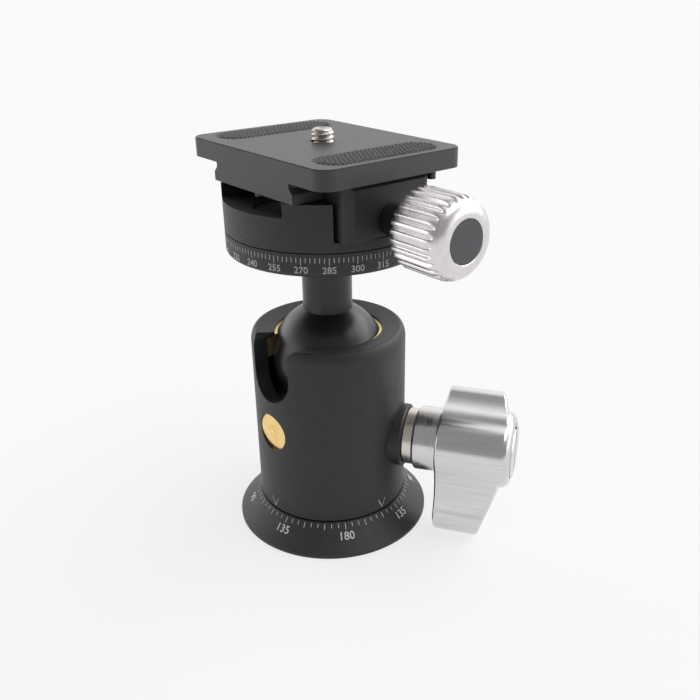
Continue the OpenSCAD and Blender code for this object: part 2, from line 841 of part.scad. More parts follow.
module clamp_body() {
    color([0.06, 0.06, 0.065]) clamp_frame() difference() {
        union() {
            rod(ring_r, clamp_bottom, jaw_top - 0.8);
            taper(ring_r, ring_r - 0.8, jaw_top - 0.8, jaw_top);
            rod(clamp_hub_r, hub_bottom, clamp_bottom + eps);
        }
        fixed_jaw_cut();
        rod(pivot_r + run_gap, hub_bottom - 1, well_floor + 1);
        rod(well_r, well_floor, platform_z + 1);
        translate([pocket_in, -pocket_half, ledge_z]) cube([ring_r, 2 * pocket_half, clamp_h]);
        translate([-shelf_half, -ring_r - 1, shelf_z]) {
            cube([2 * shelf_half, ring_r + 1 - shelf_wall, clamp_h]);
        }
        translate([level_x, level_y, 0]) rod(level_r + seat_gap, level_top - level_h, platform_z + 1);
        translate([0, 0, clamp_screw_z]) along_x() rod(clamp_screw_r + 0.1, 0, pocket_in + 1);
        translate([0, 0, clamp_screw_z]) along_x() rod(clamp_screw_r + run_gap, screw_inner_end - 1.5, 0);
        for (y = [-pin_y, pin_y]) {
            translate([0, y, clamp_screw_z]) along_x() {
                rod(pin_r + run_gap, 0, pocket_in + 1);
                rod(spring_r + 0.25, pocket_in - spring_seat_l, pocket_in + 1);
            }
        }
    }
}

module level_place() {
    clamp_frame() translate([level_x, level_y, level_top - level_h]) children();
}

level_wall = 0.8;
level_floor = 0.8;
level_lens = 0.6;
bubble_r = 1.4;
bubble_h = 0.7;

module level_cup() {
    color("silver") level_place() difference() {
        rod(level_r, 0, level_h);
        rod(level_r - level_wall, level_floor, level_h + 1);
    }
}

module level_fluid() {
    color([0.55, 0.85, 0.2, 0.6]) level_place() difference() {
        rod(level_r - level_wall - seat_gap, level_floor, level_h - level_lens);
        rod(bubble_r + seat_gap, level_h - level_lens - bubble_h, level_h);
    }
}

module level_bubble() {
    color([0.9, 0.97, 0.8, 0.5]) level_place() {
        rod(bubble_r, level_h - level_lens - bubble_h, level_h - level_lens);
    }
}

module level_glass() {
    color([0.9, 0.95, 0.95, 0.35]) level_place() {
        rod(level_r - level_wall - seat_gap, level_h - level_lens, level_h);
    }
}

module movable_jaw() {
    color([0.05, 0.05, 0.055]) clamp_frame() difference() {
        jaw_solid(jaw_in, ledge_z + part_gap);
        translate([0, 0, clamp_screw_z]) along_x() rod(clamp_screw_r + 0.1, 0, jaw_face + 1);
        for (y = [-pin_y, pin_y]) {
            translate([0, y, clamp_screw_z]) along_x() rod(pin_r + seat_gap, 0, jaw_face - pin_seat_l);
        }
    }
}

module jaw_guide_pins() {
    color("silver") clamp_frame() for (y = [-pin_y, pin_y]) {
        translate([0, y, clamp_screw_z]) along_x() rod(pin_r, pocket_in - pin_reach, jaw_face - pin_seat_l);
    }
}

// One compression spring round a guide pin, as a swept wire
module coil(mean_r, wire_r, l, turns) {
    sides = 6;
    steps = 14;
    count = turns * steps;
    rise = l - 2 * wire_r;
    function spot(i, j) = let (
        a = 360 * i / steps,
        b = 360 * j / sides,
        r = mean_r + wire_r * cos(b)
    ) [r * cos(a), r * sin(a), wire_r + rise * i / count + wire_r * sin(b)];
    points = [for (i = [0 : count], j = [0 : sides - 1]) spot(i, j)];
    walls = [for (i = [0 : count - 1], j = [0 : sides - 1])
        [i * sides + j, i * sides + (j + 1) % sides, (i + 1) * sides + (j + 1) % sides, (i + 1) * sides + j]
    ];
    first = [[for (j = [sides - 1 : -1 : 0]) j]];
    last = [[for (j = [0 : sides - 1]) count * sides + j]];
    polyhedron(points = points, faces = concat(walls, first, last), convexity = 10);
}

module jaw_springs() {
    color("silver") clamp_frame() for (y = [-pin_y, pin_y]) {
        translate([pocket_in - spring_seat_l, y, clamp_screw_z]) along_x() {
            coil(spring_r - spring_wire_r, spring_wire_r, spring_seat_l + part_gap - 0.05, 4);
        }
    }
}

// ---- Clamp knob ----

module clamp_screw() {
    color("silver") clamp_axis() rod(clamp_screw_r, screw_inner_end, clamp_knob_start + 9);
}

module clamp_spacer() {
    color([0.03, 0.03, 0.035]) clamp_axis() {
        tube(spacer_r, clamp_screw_r + seat_gap, spacer_start, clamp_knob_start);
    }
}

module clamp_knob() {
    corner = clamp_knob_end - clamp_knob_round;
    bend = [for (a = [0 : 10 : 90])
        [clamp_knob_r - clamp_knob_round + clamp_knob_round * cos(a), corner + clamp_knob_round * sin(a)]
    ];
    color("gainsboro") clamp_axis() difference() {
        rotate_extrude($fn = fine) polygon(concat(
            [[0, clamp_knob_start], [clamp_knob_r - 0.5, clamp_knob_start],
             [clamp_knob_r, clamp_knob_start + 0.5]],
            bend, [[0, clamp_knob_end]]
        ));
        rod(clamp_screw_r + seat_gap, 0, clamp_knob_start + 9);
        rod(insert_r + seat_gap, clamp_knob_end - insert_t, clamp_knob_end + 1);
        ring_of(flute_count, clamp_knob_r + 0.25) rod(flute_r, clamp_knob_start - 1, clamp_knob_end);
    }
}

module knob_insert() {
    color([0.04, 0.04, 0.045]) clamp_axis() rod(insert_r, clamp_knob_end - insert_t, clamp_knob_end - 0.1);
}

// ---- Plate ----

module plate() {
    edge = 0.3;
    color([0.06, 0.06, 0.065]) clamp_frame() difference() {
        union() {
            rounded_slab(plate_w, plate_l, plate_round, slab_bottom, plate_top - edge);
            rounded_slab(
                plate_w - 2 * edge, plate_l - 2 * edge, plate_round - edge, plate_top - edge, plate_top
            );
            rotate([90, 0, 0]) translate([0, 0, -plate_l / 2]) linear_extrude(plate_l) polygon([
                [-dove_half, dove_bottom], [dove_half, dove_bottom],
                [dove_half, dove_bottom + dove_side_h],
                [dove_neck, dove_bottom + dove_side_h + dove_flank],
                [dove_neck, slab_bottom + eps], [-dove_neck, slab_bottom + eps],
                [-dove_neck, dove_bottom + dove_side_h + dove_flank],
                [-dove_half, dove_bottom + dove_side_h]
            ]);
        }
        rod(camera_screw_r + part_gap, dove_bottom - 1, plate_top + 1);
        rod(screw_head_r + part_gap, dove_bottom - 1, dove_bottom + screw_head_t + 0.9);
        for (x = [-pad_x, pad_x]) {
            translate([x, 0, 0]) pad_shape(pad_w + 0.1, pad_l + 0.1, plate_top - pad_recess, plate_top + 1);
        }
        translate([stop_jaw_x, stop_jaw_y, 0]) rod(stop_r + seat_gap, slab_bottom - 1, slab_bottom + 2.5);
        translate([stop_shelf_x, stop_shelf_y, 0]) rod(stop_r + seat_gap, dove_bottom - 1, dove_bottom + 4);
    }
}

module grip_pads() {
    color([0.1, 0.1, 0.1]) clamp_frame() for (x = [-pad_x, pad_x]) {
        translate([x, 0, 0]) pad_shape(pad_w, pad_l, plate_top - pad_recess, plate_top + pad_proud);
    }
}

module plate_stops() {
    color("silver") clamp_frame() {
        translate([stop_jaw_x, stop_jaw_y, 0]) rod(stop_r, slab_bottom - 3, slab_bottom + 2.5);
        translate([stop_shelf_x, stop_shelf_y, 0]) rod(stop_r, dove_bottom - 1, dove_bottom + 4);
    }
}

module camera_screw() {
    head_bottom = dove_bottom + 0.5;
    top = plate_top + camera_screw_h;
    color("silver") difference() {
        union() {
            rod(screw_head_r, head_bottom, head_bottom + screw_head_t);
            rod(camera_screw_r - 0.5, head_bottom, plate_top + eps);
            rod(camera_screw_r, plate_top, top - 0.5);
            taper(camera_screw_r, camera_screw_r - 0.5, top - 0.5, top);
        }
        translate([-screw_head_r - 1, -0.9, head_bottom - 1]) cube([2 * screw_head_r + 2, 1.8, 2.4]);
    }
}

base_flange();
pan_washer();
pan_retainer();
pan_screws();
housing();
housing_floor();
wedge_guide();
ball_collar();
lock_bushing();
side_plug();
lock_wedge();
ball_cup();
lock_stud();
knob_sleeve();
knob_collar();
lock_knob();
knob_set_screw();
friction_dial();
pan_lock_pad();
pan_lock_screw();
pan_lock_knob();
ball_stem();
scale_ring();
clamp_washer();
clamp_retainer();
stem_screw();
retainer_pins();
ring_lock_pad();
ring_lock_screw();
ring_lock_knob();
clamp_body();
level_cup();
level_fluid();
level_bubble();
level_glass();
movable_jaw();
jaw_guide_pins();
jaw_springs();
clamp_screw();
clamp_spacer();
clamp_knob();
knob_insert();
plate();
grip_pads();
plate_stops();
camera_screw();
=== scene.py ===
import bpy, bmesh, math
from mathutils import Matrix, Vector


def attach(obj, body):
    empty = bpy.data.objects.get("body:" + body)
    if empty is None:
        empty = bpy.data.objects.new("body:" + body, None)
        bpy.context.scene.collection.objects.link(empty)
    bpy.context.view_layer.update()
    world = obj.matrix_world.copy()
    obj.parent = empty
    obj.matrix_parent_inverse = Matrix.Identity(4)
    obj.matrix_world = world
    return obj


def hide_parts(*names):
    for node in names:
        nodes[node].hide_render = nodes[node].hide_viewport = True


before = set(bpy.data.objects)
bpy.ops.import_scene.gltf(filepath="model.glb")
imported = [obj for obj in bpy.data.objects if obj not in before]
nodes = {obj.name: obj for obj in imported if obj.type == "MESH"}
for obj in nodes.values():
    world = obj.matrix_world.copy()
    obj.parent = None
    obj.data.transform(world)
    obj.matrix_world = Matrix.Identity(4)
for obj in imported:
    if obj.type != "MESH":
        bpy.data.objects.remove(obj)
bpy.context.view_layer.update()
MM = 0.001
TAU = 2 * math.pi

# ---------------------------------------------------------------- sizes, in millimetres
HOUSING_R = 24.1
LOCK_Z = 30.9
CLAMP_TURN = math.radians(-32.5)
RING_R = 29.3
CLAMP_AXIS_Z = 106.3
PLATE_TOP = 122.75
PAD_TOP = 123.15
PAD_RELIEF = 0.43

# Frames of the pieces that lie turned. The z of LOCK and of CLAMP_AXIS runs along a knob's axis.
LOCK = Matrix.Translation((0, 0, LOCK_Z)) @ Matrix.Rotation(math.radians(90), 4, "Y")
CLAMP = Matrix.Rotation(CLAMP_TURN, 4, "Z")
CLAMP_AXIS = (CLAMP @ Matrix.Translation((0, 0, CLAMP_AXIS_Z))
              @ Matrix.Rotation(math.radians(90), 4, "Y"))
UPRIGHT = Matrix.Identity(4)


# ---------------------------------------------------------------- materials
# a Mix node's colour sockets share their names with its other sockets, so they go by number
MIX_COLOUR_A, MIX_COLOUR_B, MIX_COLOUR_OUT = 6, 7, 2


class Shader:
    """One procedural material: a Principled shader whose colour, roughness and bump vary."""

    def __init__(self, name, **values):
        self.material = bpy.data.materials.new(name)
        self.material.use_nodes = True
        self.tree = self.material.node_tree
        self.shader = self.tree.nodes["Principled BSDF"]
        self.texcoord = self.tree.nodes.new("ShaderNodeTexCoord")
        for key, value in values.items():
            self.shader.inputs[key.replace("_", " ")].default_value = value

    def node(self, kind, **values):
        made = self.tree.nodes.new(kind)
        for key, value in values.items():
            setattr(made, key, value)
        return made

    def link(self, a, b):
        self.tree.links.new(a, b)

    def noise(self, scale, detail=3.0, stretch=(1, 1, 1), rotation=(0, 0, 0)):
        """Noise over the object's own coordinates, in cycles per millimetre times the stretch."""
        mapping = self.node("ShaderNodeMapping")
        mapping.inputs["Scale"].default_value = [s / MM for s in stretch]
        mapping.inputs["Rotation"].default_value = rotation
        self.link(self.texcoord.outputs["Object"], mapping.inputs["Vector"])
        made = self.node("ShaderNodeTexNoise")
        made.inputs["Scale"].default_value = scale
        made.inputs["Detail"].default_value = detail
        self.link(mapping.outputs["Vector"], made.inputs["Vector"])
        return made.outputs["Fac"]

    def ramp(self, source, low, high, start=0.3, end=0.7):
        made = self.node("ShaderNodeMapRange")
        made.inputs["From Min"].default_value = start
        made.inputs["From Max"].default_value = end
        made.inputs["To Min"].default_value = low
        made.inputs["To Max"].default_value = high
        self.link(source, made.inputs["Value"])
        return made.outputs["Result"]

    def colours(self, source, low, high, start=0.3, end=0.7):
        made = self.node("ShaderNodeMix", data_type="RGBA")
        made.inputs[MIX_COLOUR_A].default_value = (*low, 1)
        made.inputs[MIX_COLOUR_B].default_value = (*high, 1)
        self.link(self.ramp(source, 0, 1, start, end), made.inputs["Factor"])
        self.link(made.outputs[MIX_COLOUR_OUT], self.shader.inputs["Base Color"])

    def rough(self, source, low, high, start=0.3, end=0.7):
        self.link(self.ramp(source, low, high, start, end), self.shader.inputs["Roughness"])

    def bump(self, source, strength, distance):
        made = self.node("ShaderNodeBump")
        made.inputs["Strength"].default_value = strength
        made.inputs["Distance"].default_value = distance * MM
        self.link(source, made.inputs["Height"])
        self.link(made.outputs["Normal"], self.shader.inputs["Normal"])


def anodised(name, low, high, rough_low, rough_high, grain=0.02):
    made = Shader(name, Metallic=0.0, IOR=1.5)
    made.colours(made.noise(0.35, 4), low, high)
    made.rough(made.noise(2.2, 5), rough_low, rough_high)
    made.bump(made.noise(9.0, 2), 0.35, grain)
    return made.material


def metal(name, low, high, rough_low, rough_high, stretch=(1, 1, 1), scale=1.0, grain=0.006,
          rotation=(0, 0, 0)):
    """Bare metal with fine tool marks that run across the stretched direction."""
    made = Shader(name, Metallic=1.0)
    marks = made.noise(scale, 4, stretch, rotation)
    made.colours(marks, low, high)
    made.rough(made.noise(scale * 0.6, 3, stretch, rotation), rough_low, rough_high)
    made.bump(marks, 0.3, grain)
    return made.material


def plain(name, colour, rough_low, rough_high, grain=0.01, **values):
    made = Shader(name, Metallic=0.0, **values)
    darker, lighter = [c * 0.94 for c in colour], [min(1, c * 1.04) for c in colour]
    made.colours(made.noise(0.8, 3), darker, lighter)
    made.rough(made.noise(1.7, 4), rough_low, rough_high)
    made.bump(made.noise(6.0, 2), 0.25, grain)
    return made.material


def rubber_with_painted_groove_shade(name):
    """Black rubber with painted shade: its colour darkens with depth, so the grooves are painted
    near-black and the ridges lighter.
    """
    made = Shader(name, Metallic=0.0)
    height = made.node("ShaderNodeSeparateXYZ")
    made.link(made.texcoord.outputs["Object"], height.inputs["Vector"])
    # painted shade: colour by height, from near-black at the grooves' floor to lighter grey on the
    # ridge tops
    made.colours(height.outputs["Z"], (0.001, 0.001, 0.001), (0.085, 0.085, 0.089),
                 (PAD_TOP - PAD_RELIEF) * MM, (PAD_TOP - 0.02) * MM)
    made.rough(made.noise(1.7, 4), 0.4, 0.5)
    return made.material


BLACK = anodised("black_anodised", (0.017, 0.017, 0.0185), (0.022, 0.0218, 0.0235), 0.46, 0.55)
BLACK_PLATE = anodised("black_plate", (0.050, 0.0498, 0.0515), (0.058, 0.0575, 0.060), 0.42, 0.52)
BALL = anodised("black_ball", (0.009, 0.009, 0.010), (0.012, 0.012, 0.013), 0.28, 0.36, 0.006)
SILVER_WINGS = metal("silver_wings", (0.60, 0.60, 0.61), (0.68, 0.68, 0.69), 0.17, 0.26,
                     (0.04, 1.3, 1.3), 1.6, 0.002)
SILVER_TURNED = metal("silver_turned", (0.60, 0.59, 0.59), (0.68, 0.67, 0.67), 0.18, 0.28,
                      (1.6, 0.05, 0.05), 2.0, 0.002)
SILVER_KNOB = metal("silver_knob", (0.66, 0.64, 0.64), (0.74, 0.72, 0.72), 0.24, 0.34,
                    (1.2, 0.2, 0.2), 2.0, 0.0015, (0, 0, -CLAMP_TURN))
STEEL = metal("steel", (0.58, 0.57, 0.56), (0.70, 0.69, 0.67), 0.22, 0.34, scale=1.5)
WARM_STEEL = metal("warm_steel", (0.60, 0.55, 0.49), (0.70, 0.65, 0.59), 0.24, 0.34,
                   (2.2, 0.05, 0.05), 3.0)
NICKEL = metal("nickel", (0.40, 0.37, 0.34), (0.50, 0.465, 0.43), 0.2, 0.3, scale=1.5, grain=0.003)
BLACK_STEEL = metal("black_steel", (0.05, 0.05, 0.055), (0.08, 0.08, 0.085), 0.35, 0.5, scale=1.2)
GREY_ALU = metal("grey_aluminium", (0.50, 0.50, 0.51), (0.58, 0.58, 0.59), 0.3, 0.42,
                 (0.3, 0.3, 2.0), 2.0)
GOLD = metal("gold_brass", (0.84, 0.56, 0.18), (0.93, 0.71, 0.33), 0.2, 0.3,
             scale=0.25, grain=0.001)
GOLD_RING = metal("gold_ring", (0.62, 0.50, 0.22), (0.74, 0.62, 0.33), 0.28, 0.4, scale=0.9)
NYLON = plain("white_nylon", (0.80, 0.80, 0.77), 0.45, 0.55)
GLOSS_BLACK = plain("black_plastic", (0.016, 0.016, 0.018), 0.16, 0.24, 0.004)
INSERT = plain("black_insert", (0.085, 0.085, 0.095), 0.2, 0.28, 0.006)
RUBBER = rubber_with_painted_groove_shade("black_rubber")
MARKS = plain("white_marks", (0.62, 0.61, 0.60), 0.5, 0.65, 0.004)
FAINT = plain("faint_mark", (0.10, 0.10, 0.10), 0.4, 0.5, 0.004)
FLUID = plain("level_fluid", (0.45, 0.80, 0.08), 0.05, 0.12, 0.001, Transmission_Weight=0.3)
GLASS = plain("clear_glass", (0.95, 0.97, 0.96), 0.02, 0.05, 0.0005, Transmission_Weight=0.95)


# ---------------------------------------------------------------- mesh helpers
SAME_POINT = 1e-7  # in metres


def linked(name, mesh):
    made = bpy.data.objects.new(name, mesh)
    bpy.context.scene.collection.objects.link(made)
    return made


def made_mesh(name, points, faces, place, sharp):
    """A smooth mesh from points in millimetres, with hard edges where it bends more than sharp."""
    mesh = bpy.data.meshes.new(name)
    mesh.from_pydata([tuple((place @ Vector(p)) * MM) for p in points], [], faces)
    bm = bmesh.new()
    bm.from_mesh(mesh)
    bmesh.ops.remove_doubles(bm, verts=bm.verts, dist=SAME_POINT)
    bmesh.ops.recalc_face_normals(bm, faces=bm.faces)
    bm.to_mesh(mesh)
    bm.free()
    mesh.shade_smooth()
    mesh.set_sharp_from_angle(angle=sharp)
    return linked(name, mesh)


def grid(rows):
    """Points and faces of a surface whose rows are rings with the same number of points."""
    points = [p for row in rows for p in row]
    n = len(rows[0])
    faces = []
    for i in range(len(rows) - 1):
        for j in range(n):
            k = (j + 1) % n
            faces.append((i * n + j, i * n + k, (i + 1) * n + k, (i + 1) * n + j))
    return points, faces


def ring(r, z, steps):
    return [(r * math.cos(TAU * j / steps), r * math.sin(TAU * j / steps), z) for j in range(steps)]


def dress(piece, body, material, slot, *replaced):
    piece.data.materials.clear()
    piece.data.materials.append(material)
    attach(piece, body)
    if replaced:
        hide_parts(*replaced)
    return piece


def flat_text(name, text, size):
    """Points and faces of flat numbers, cut finely enough to be laid on a round surface."""
    curve = bpy.data.curves.new(name, "FONT")
    curve.body = text
    curve.size = size
    curve.align_x = "CENTER"
    curve.align_y = "CENTER"
    curve.offset = 0.012 * size
    curve.resolution_u = 3
    holder = linked(name + "_curve", curve)
    bpy.context.view_layer.update()
    depsgraph = bpy.context.evaluated_depsgraph_get()
    mesh = bpy.data.meshes.new_from_object(holder.evaluated_get(depsgraph))
    bpy.data.objects.remove(holder)
    bm = bmesh.new()
    bm.from_mesh(mesh)
    bmesh.ops.triangulate(bm, faces=bm.faces)
    long_edges = [e for e in bm.edges if e.calc_length() > size * 0.3]
    if long_edges:
        bmesh.ops.subdivide_edges(bm, edges=long_edges, cuts=1)
        bmesh.ops.triangulate(bm, faces=bm.faces)
    points = [(v.co.x, v.co.y) for v in bm.verts]
    faces = [[v.index for v in f.verts] for f in bm.faces]
    bm.free()
    bpy.data.meshes.remove(mesh)
    return points, faces


def joined(name, parts):
    """One object from several (points, faces) lists that are already in place, in millimetres."""
    points, faces = [], []
    for pts, fcs in parts:
        base = len(points)
        points += pts
        faces += [[base + i for i in f] for f in fcs]
    mesh = bpy.data.meshes.new(name)
    mesh.from_pydata([tuple(Vector(p) * MM) for p in points], [], faces)
    return linked(name, mesh)


# ---------------------------------------------------------------- looks of the CAD nodes
LOOKS = {
    "base_flange": BLACK, "pan_washer": NYLON, "pan_retainer": STEEL, "pan_screws": BLACK_STEEL,
    "housing": BLACK, "housing_floor": GREY_ALU, "wedge_guide": STEEL, "ball_collar": GOLD_RING,
    "lock_bushing": BLACK, "side_plug": GOLD, "lock_wedge": STEEL, "ball_cup": GREY_ALU,
    "lock_stud": STEEL, "knob_sleeve": WARM_STEEL, "knob_collar": SILVER_TURNED,
    "lock_knob": SILVER_WINGS, "knob_set_screw": BLACK_STEEL, "friction_dial": SILVER_TURNED,
    "pan_lock_pad": GOLD, "pan_lock_screw": STEEL, "pan_lock_knob": SILVER_KNOB,
    "ball_stem": BALL, "scale_ring": BLACK, "clamp_washer": NYLON, "clamp_retainer": STEEL,
    "stem_screw": BLACK_STEEL, "retainer_pins": STEEL,
    "ring_lock_pad": GOLD, "ring_lock_screw": STEEL, "ring_lock_knob": SILVER_KNOB,
    "clamp_body": BLACK, "level_cup": STEEL, "level_fluid": FLUID, "level_bubble": GLASS,
    "level_glass": GLASS,
    "movable_jaw": BLACK, "jaw_guide_pins": STEEL, "jaw_springs": STEEL,
    "clamp_screw": STEEL, "clamp_spacer": GLOSS_BLACK, "clamp_knob": SILVER_KNOB,
    "knob_insert": INSERT,
    "plate": BLACK_PLATE, "grip_pads": RUBBER, "plate_stops": BLACK_STEEL, "camera_screw": STEEL,
}
# width of the rounded edges, in millimetres
EDGES = {
    "housing": 0.35, "clamp_body": 0.3, "movable_jaw": 0.3, "plate": 0.18, "scale_ring": 0.2,
    "lock_bushing": 0.25, "knob_sleeve": 0.2, "knob_collar": 0.2, "side_plug": 0.25,
    "ball_collar": 0.12, "friction_dial": 0.2, "pan_lock_knob": 0.12, "ring_lock_knob": 0.1,
    "knob_insert": 0.1, "plate_stops": 0.15, "clamp_spacer": 0.2,
}
for name, shown in nodes.items():
    shown.data.materials.clear()
    shown.data.materials.append(LOOKS[name])
    if name in EDGES:
        edge = shown.modifiers.new("edges", "BEVEL")
        edge.width = EDGES[name] * MM
        edge.segments = 2
        edge.limit_method = "ANGLE"
        edge.angle_limit = math.radians(38)

# ---------------------------------------------------------------- main lock knob
KNOB_BACK, KNOB_FRONT = 37.2, 60.2
BARREL_R, SHOULDER = 11.9, 2.9
# the wings' front at the barrel, and how far it falls per millimetre further out
WING_FRONT, WING_FALL = KNOB_BACK + 20, 0.335
WING_END_R, HOLLOW_R = 7.6, 24.0
# each wing's direction and the distance of its round end
WINGS = ((math.radians(-9), 22.5), (math.radians(119), 12.2))
BACK_EDGE, FRONT_EDGE = 0.8, 0.75
STUD_R, STUD_END = 4.05, 48.2
DIAL_R, DIAL_SEAT, DIAL_SCREW_R = 8.7, 58.4, 2.55


def wing_radius(turned, reach):
    """Outline of a wing at an angle from its middle: round end, hollow flank, then the barrel."""
    out = BARREL_R + HOLLOW_R
    x = (out ** 2 - (WING_END_R + HOLLOW_R) ** 2 + reach ** 2) / (2 * reach)
    y = math.sqrt(out ** 2 - x ** 2)
    side = WING_END_R / (WING_END_R + HOLLOW_R)
    to_flank = math.atan2(y * side, reach + (x - reach) * side)
    to_barrel = math.atan2(y, x)
    turned = abs(turned)
    if turned < to_flank:
        across = reach * math.sin(turned)
        return reach * math.cos(turned) + math.sqrt(max(0.0, WING_END_R ** 2 - across ** 2))
    if turned < to_barrel:
        along = x * math.cos(turned) + y * math.sin(turned)
        return along - math.sqrt(max(0.0, along ** 2 - out ** 2 + HOLLOW_R ** 2))
    return BARREL_R


def wing_outline(count, dense_count=5400):
    """Points along the outline, evenly spaced, each with its outward direction."""
    dense = []
    for j in range(dense_count):
        a = TAU * j / dense_count
        r = max(wing_radius((a - at + math.pi) % TAU - math.pi, reach) for at, reach in WINGS)
        dense.append(Vector((r * math.cos(a), r * math.sin(a))))
    gone = [0.0]
    for p, q in zip(dense, dense[1:] + dense[:1]):
        gone.append(gone[-1] + (q - p).length)
    points, k = [], 0
    for i in range(count):
        want = gone[-1] * i / count
        while gone[k + 1] < want:
            k += 1
        t = (want - gone[k]) / (gone[k + 1] - gone[k])
        points.append(dense[k].lerp(dense[(k + 1) % len(dense)], t))
    made = []
    for i, p in enumerate(points):
        run = points[(i + 1) % count] - points[i - 1]
        made.append((p, Vector((run.y, -run.x)).normalized()))
    return made


def winged_knob():
    """Rows from the bore's back, round the wings' flanks, over their front and into the hub."""
    outline = wing_outline(480)
    flank_start = KNOB_BACK + BACK_EDGE

    def front(r):
        return WING_FRONT - WING_FALL * (r - BARREL_R)

    def front_edge(r):
        return FRONT_EDGE * min(1.0, (r - BARREL_R) / 1.6)

    def circle(r, z):
        return [(r * p.x / p.length, r * p.y / p.length, z) for p, n in outline]

    def inset(depth, height):
        row = []
        for p, n in outline:
            q = p - n * depth(p.length)
            row.append((q.x, q.y, height(p.length, q.length)))
        return row

    rows = [circle(STUD_R, KNOB_BACK), circle(8.0, KNOB_BACK)]
    for k in range(7):
        a = math.radians(15 * k)
        rows.append(inset(lambda r: BACK_EDGE * (1 - math.sin(a)),
                          lambda r, q: KNOB_BACK + BACK_EDGE * (1 - math.cos(a))))
    for t in (0.02, 0.1, 0.3, 0.5, 0.7, 0.9, 0.98):
        rows.append(inset(lambda r: 0.0,
                          lambda r, q: flank_start + (front(r) - front_edge(r) - flank_start) * t))
    for k in range(7):
        a = math.radians(15 * k)
        rows.append(inset(lambda r: front_edge(r) * (1 - math.cos(a)),
                          lambda r, q: front(q) - front_edge(r) * (1 - math.sin(a))))
    rim = [Vector(p) for p in rows[-1]]
    for t in (0.04, 0.2, 0.4, 0.6, 0.8, 0.96, 1.0):
        row = []
        for p in rim:
            flat = math.hypot(p.x, p.y)
            r = flat + (BARREL_R - flat) * t
            row.append((r * p.x / flat, r * p.y / flat, front(r)))
        rows.append(row)
    for k in range(13):
        a = math.radians(7.5 * k)
        rows.append(circle(BARREL_R - SHOULDER * (1 - math.cos(a)),
                           KNOB_FRONT - SHOULDER * (1 - math.sin(a))))
    inside = [
        (DIAL_R + 0.05, KNOB_FRONT), (DIAL_R, KNOB_FRONT - 0.05), (DIAL_R, DIAL_SEAT),
        (DIAL_SCREW_R, DIAL_SEAT), (DIAL_SCREW_R, STUD_END), (STUD_R, STUD_END),
        (STUD_R, KNOB_BACK),
    ]
    rows += [circle(r, z) for r, z in inside]
    points, faces = grid(rows)
    return made_mesh("winged_knob", points, faces, LOCK, sharp=math.radians(40))


dress(winged_knob(), "lock", SILVER_WINGS, "silver_aluminium", "lock_knob")

# ---------------------------------------------------------------- clamp knob with its flutes
CLAMP_KNOB_START, CLAMP_KNOB_END = 40.6, 57.0
CLAMP_KNOB_R, CLAMP_KNOB_ROUND = 10.97, 4.5
CLAMP_SCREW_R = 3.05
FLUTES, FLUTE_DEPTH, FLUTE_SHARPNESS = 28, 0.8, 2.6
FLUTE_ROOT_R = 8.2
INSERT_SEAT_R, INSERT_SEAT_DEPTH = 5.75, 0.65


def flute_depth(r, z):
    """Depth of the flutes, which run out in the round front edge and stay off the back's face."""
    if r < FLUTE_ROOT_R or z > CLAMP_KNOB_END - 0.5:
        return 0.0
    ease = min(1.0, max(0.0, (CLAMP_KNOB_END - 1.9 - z) / 1.6))
    return (FLUTE_DEPTH * math.sin(ease * math.pi / 2) ** 1.2
            * min(1.0, max(0.0, (r - FLUTE_ROOT_R) / 1.2)))


def fluted_knob():
    steps = FLUTES * 14
    side_start = CLAMP_KNOB_START + 0.45
    side = CLAMP_KNOB_END - CLAMP_KNOB_ROUND - side_start
    profile = [
        (CLAMP_SCREW_R, CLAMP_KNOB_START), (8.0, CLAMP_KNOB_START), (10.5, CLAMP_KNOB_START),
        (10.8, CLAMP_KNOB_START + 0.12), (CLAMP_KNOB_R, side_start),
    ]
    profile += [(CLAMP_KNOB_R, side_start + side * t) for t in (0.25, 0.5, 0.75, 0.92)]
    for k in range(19):
        b = math.radians(5 * k)
        profile.append((CLAMP_KNOB_R - CLAMP_KNOB_ROUND + CLAMP_KNOB_ROUND * math.cos(b),
                        CLAMP_KNOB_END - CLAMP_KNOB_ROUND + CLAMP_KNOB_ROUND * math.sin(b)))
    profile += [
        (INSERT_SEAT_R + 0.2, CLAMP_KNOB_END), (INSERT_SEAT_R + 0.05, CLAMP_KNOB_END - 0.15),
        (INSERT_SEAT_R, CLAMP_KNOB_END - INSERT_SEAT_DEPTH),
        (3.0, CLAMP_KNOB_END - INSERT_SEAT_DEPTH),
    ]
    rows = []
    for r, z in profile:
        row = []
        for j in range(steps):
            a = TAU * j / steps
            groove = (0.5 + 0.5 * math.cos(FLUTES * a)) ** FLUTE_SHARPNESS
            rr = r - flute_depth(r, z) * groove
            row.append((rr * math.cos(a), rr * math.sin(a), z))
        rows.append(row)
    points, faces = grid(rows)
    return made_mesh("fluted_knob", points, faces, CLAMP_AXIS, sharp=math.radians(45))


dress(fluted_knob(), "jaw_knob", SILVER_KNOB, "silver_aluminium", "clamp_knob")


# ---------------------------------------------------------------- camera screw
THREAD_ROOT_R, THREAD_CREST_R, THREAD_PITCH = 2.62, 3.175, 1.27
STUD_TOP, STUD_TAPER = 126.25, 0.75
SHANK_R = 2.6
HEAD_R, HEAD_TOP, HEAD_BOTTOM, HEAD_EDGE = 7.0, 115.35, 112.55, 0.2


def thread_radius(z, a):
    """Radius of the thread at a height and an angle, with its top turns tapered."""
    phase = (z / THREAD_PITCH - a / TAU) % 1.0
    tooth = 1 - abs(2 * phase - 1)
    tooth = min(1, max(0, (tooth - 0.12) / 0.76))
    tall = THREAD_CREST_R - THREAD_ROOT_R
    tapered = THREAD_ROOT_R - 0.1 + (STUD_TOP - z) / STUD_TAPER * (tall + 0.1)
    return min(THREAD_ROOT_R + tall * tooth, tapered)


